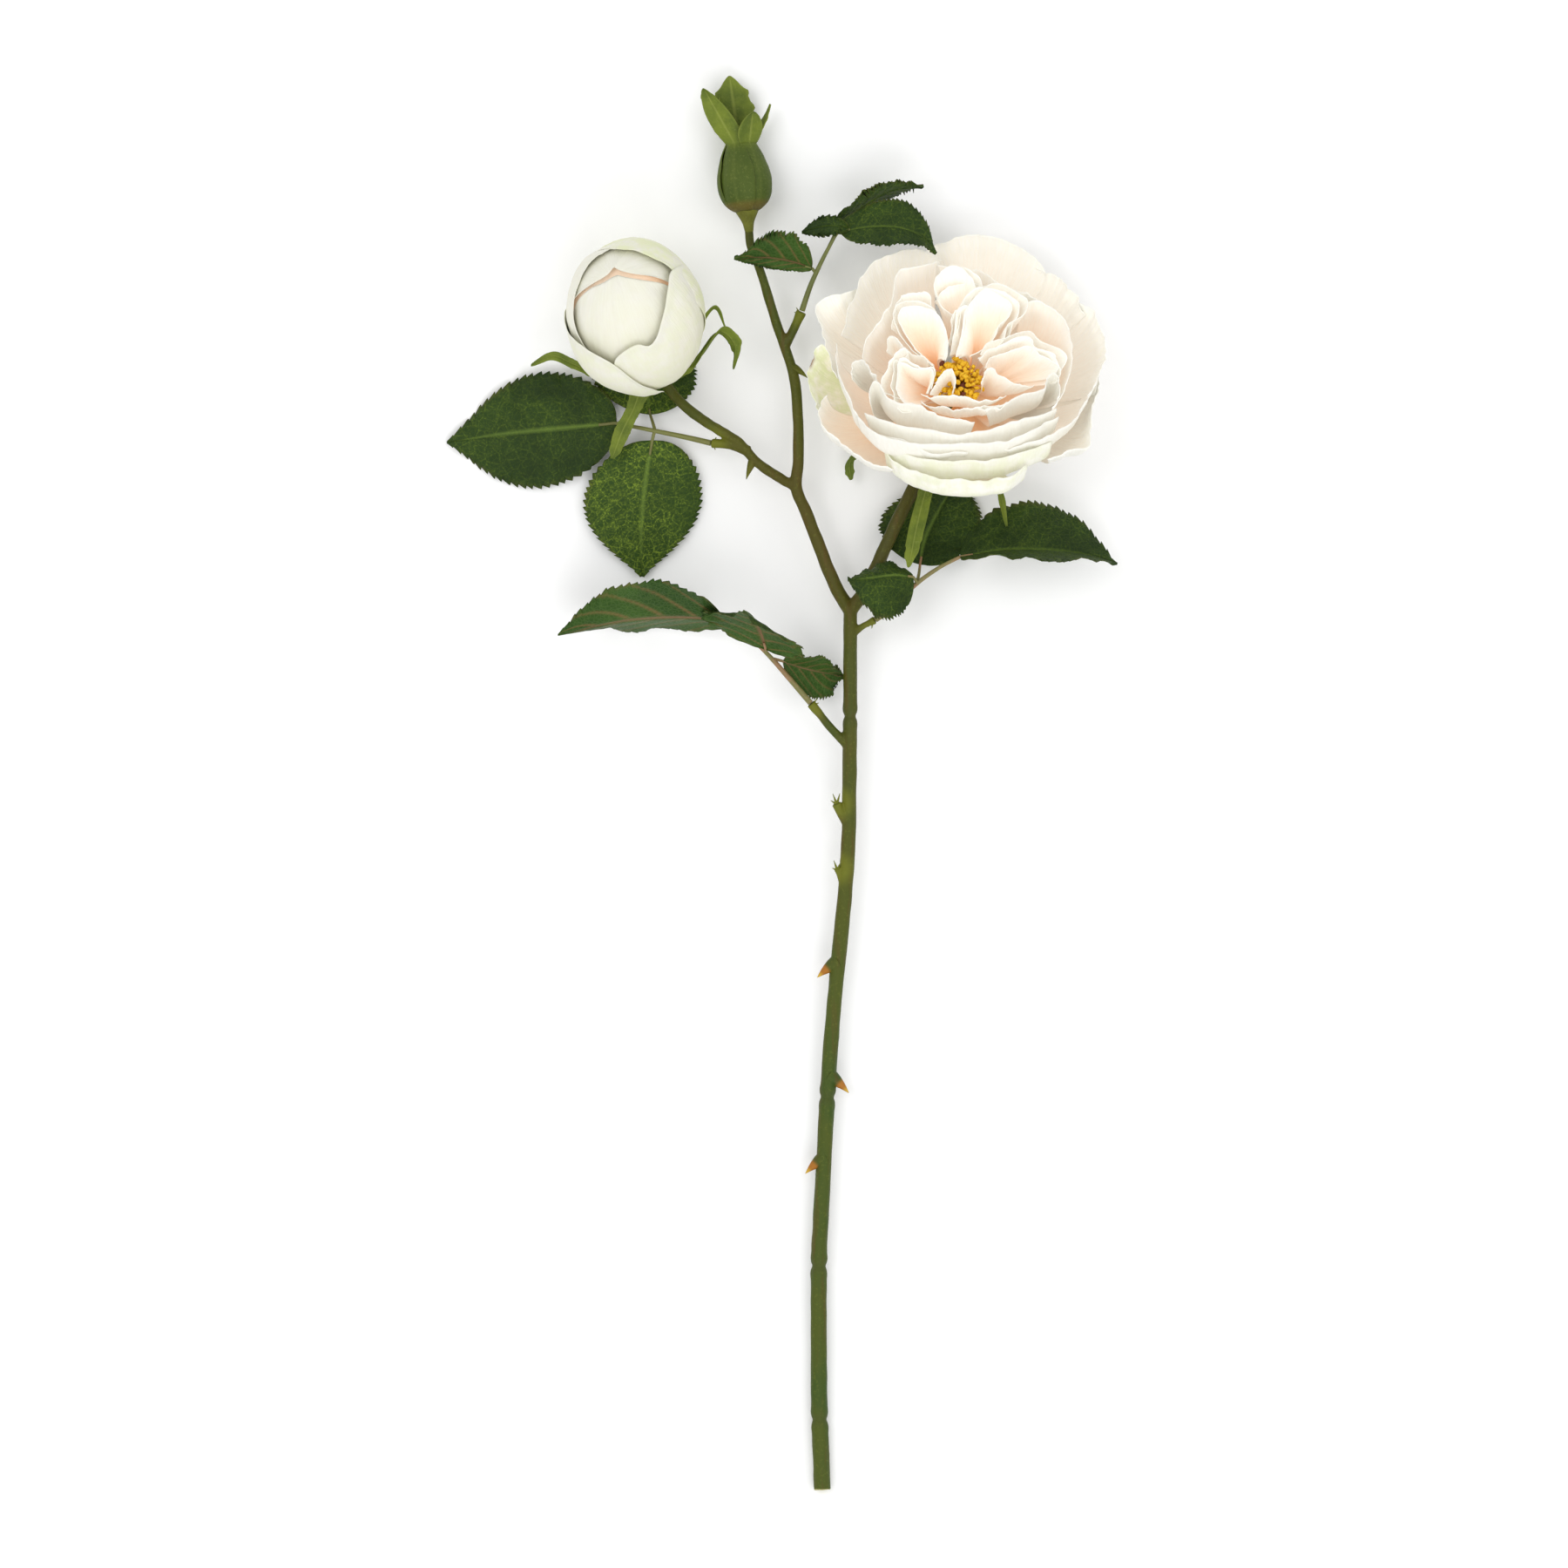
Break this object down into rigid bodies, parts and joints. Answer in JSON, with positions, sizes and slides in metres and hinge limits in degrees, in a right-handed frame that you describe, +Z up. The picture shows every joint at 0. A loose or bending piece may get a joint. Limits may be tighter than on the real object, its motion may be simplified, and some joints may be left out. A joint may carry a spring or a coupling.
{
  "type": "cut rose",
  "caption": "Cut garden-rose spray lying flat: a long jointed stem with an open many-petalled cream bloom, a half-open flower, a closed green bud and compound leaves.",
  "frame": {"origin": "on the table, under the middle of the lying spray's bounding box", "axes": "+Y along the spray from the cut end of the stem to the closed bud, +X to the right seen from above, +Z up from the table; the flowers face +Z"},
  "size_m": [0.2617, 0.5473, 0.0718],
  "materials": {
    "stem": "moulded, olive green, satin",
    "stalk": "moulded, brownish green, satin",
    "leaf": "printed cloth, dark green, matt",
    "sepal": "cloth, yellow-green, matt",
    "petal": "cloth, cream with a peach heart, matt",
    "bud_petal": "cloth, greenish white, matt",
    "stamen": "golden-yellow filaments, matt"
  },
  "bodies": {
    "root": {"stem": "stem", "leaf_bud_stalk": "stalk", "leaf_bud_leaflet_end": "leaf", "leaf_bud_leaflet_low": "leaf", "leaf_bud_leaflet_high": "leaf", "leaf_low_left_stalk": "stalk", "leaf_low_left_leaflet_end": "leaf", "leaf_low_left_leaflet_near": "leaf", "leaf_low_left_leaflet_far": "leaf", "leaf_low_right_stalk": "stalk", "leaf_low_right_leaflet_end": "leaf", "leaf_low_right_leaflet_near": "leaf", "leaf_low_right_leaflet_far": "leaf", "leaf_top_stalk": "stalk", "leaf_top_leaflet_end": "leaf", "leaf_top_leaflet_left": "leaf", "leaf_top_leaflet_high": "leaf", "bloom_calyx": "sepal", "half_open_calyx": "sepal", "closed_bud_body": "sepal", "closed_bud_calyx": "sepal", "petal_guard_1": "petal", "petal_guard_2": "petal", "petal_guard_3": "petal", "petal_guard_4": "petal", "petal_guard_5": "petal", "petal_guard_6": "petal", "petal_guard_7": "petal", "petal_guard_8": "petal", "petal_outer_1": "petal", "petal_outer_2": "petal", "petal_outer_3": "petal", "petal_outer_4": "petal", "petal_outer_5": "petal", "petal_middle_1": "petal", "petal_middle_2": "petal", "petal_middle_3": "petal", "petal_middle_4": "petal", "petal_inner_1": "petal", "petal_inner_2": "petal", "petal_inner_3": "petal", "petal_heart_top_spoon": "petal", "petal_heart_left_spoon": "petal", "petal_heart_left_back": "petal", "petal_heart_left_low": "petal", "petal_heart_right_narrow": "petal", "petal_heart_right_fold": "petal", "petal_heart_right_wave": "petal", "petal_heart_right_low": "petal", "petal_heart_low_left": "petal", "petal_heart_low_small": "petal", "petal_heart_low_right": "petal", "half_open_petal_1": "bud_petal", "half_open_petal_2": "bud_petal", "half_open_petal_3": "bud_petal", "half_open_petal_4": "bud_petal", "half_open_petal_5": "bud_petal", "half_open_petal_6": "bud_petal", "half_open_petal_rolled": "bud_petal", "stamens": "stamen"}
  },
  "joints": []
}
